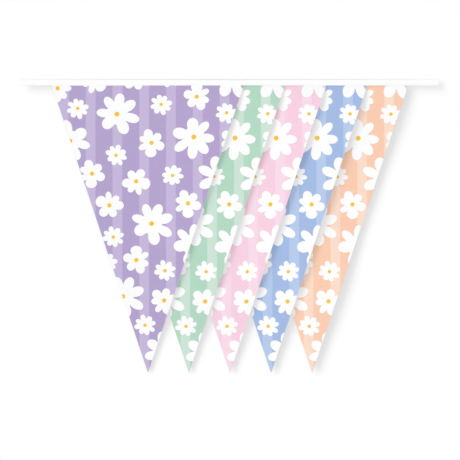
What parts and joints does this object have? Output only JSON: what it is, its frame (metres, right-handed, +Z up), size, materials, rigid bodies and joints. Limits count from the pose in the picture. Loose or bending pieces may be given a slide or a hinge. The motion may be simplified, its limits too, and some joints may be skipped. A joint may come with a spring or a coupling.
{
  "type": "fabric bunting",
  "caption": "Hanging bunting of triangular printed cotton pennants that overlap along a folded white heading tape.",
  "frame": {"origin": "middle of the heading tape's top edge", "axes": "+X along the tape to the right as seen from the front, +Z up, the front faces -Y"},
  "size_m": [0.435, 0.0192, 0.3062],
  "materials": {
    "white_tape": "matt white woven cotton tape, folded and stitched",
    "lilac_print": "matt plain-weave cotton, lilac stripes in two tones with a white daisy print",
    "mint_print": "matt plain-weave cotton, mint stripes in two tones with a white daisy print",
    "pink_print": "matt plain-weave cotton, pink stripes in two tones with a white daisy print",
    "blue_print": "matt plain-weave cotton, blue stripes in two tones with a white daisy print",
    "peach_print": "matt plain-weave cotton, peach stripes in two tones with a white daisy print"
  },
  "bodies": {
    "root": {"tape": "white_tape", "pennant_lilac": "lilac_print", "pennant_mint": "mint_print", "pennant_pink": "pink_print", "pennant_blue": "blue_print", "pennant_peach": "peach_print"}
  },
  "joints": []
}
